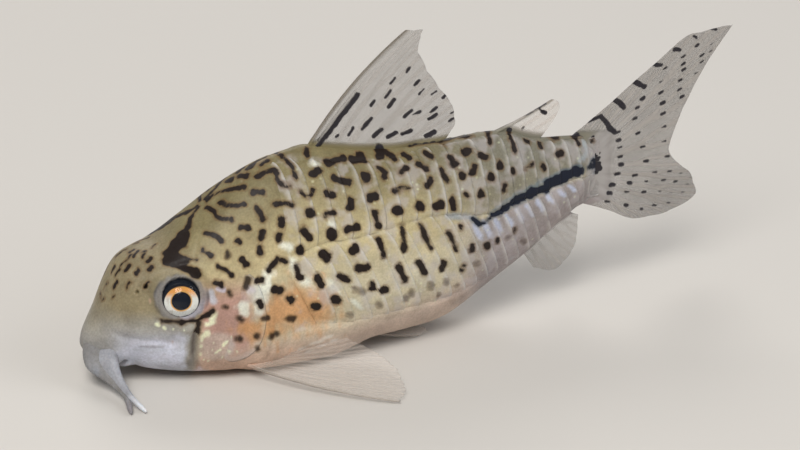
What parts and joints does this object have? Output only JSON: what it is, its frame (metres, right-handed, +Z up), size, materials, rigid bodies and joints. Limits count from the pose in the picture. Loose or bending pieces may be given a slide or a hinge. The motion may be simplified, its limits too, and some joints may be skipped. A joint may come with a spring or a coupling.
{
  "type": "corydoras catfish model",
  "caption": "Still, life-size spotted corydoras catfish, belly and spread fins resting on the ground, head low and tail raised.",
  "frame": {"origin": "on the ground, under the middle of the fish's bounding box", "axes": "+X from the snout to the tail, +Y the fish's right, +Z up"},
  "size_m": [0.063, 0.0302, 0.0286],
  "materials": {
    "skin": "wet gloss",
    "gill_cover": "wet gloss with a metallic glint",
    "fin": "translucent, satin",
    "barbel": "satin",
    "eye": "polished"
  },
  "bodies": {
    "root": {"head": "skin", "trunk": "skin", "tail_stalk": "skin", "gill_cover_left": "gill_cover", "gill_cover_right": "gill_cover", "eye_left": "eye", "eye_right": "eye", "dorsal_fin": "fin", "adipose_fin": "fin", "anal_fin": "fin", "caudal_fin": "fin", "pectoral_fin_left": "fin", "pectoral_fin_right": "fin", "pelvic_fin_left": "fin", "pelvic_fin_right": "fin", "barbel_upper_left": "barbel", "barbel_upper_right": "barbel", "barbel_lower_left": "barbel", "barbel_lower_right": "barbel"}
  },
  "joints": []
}
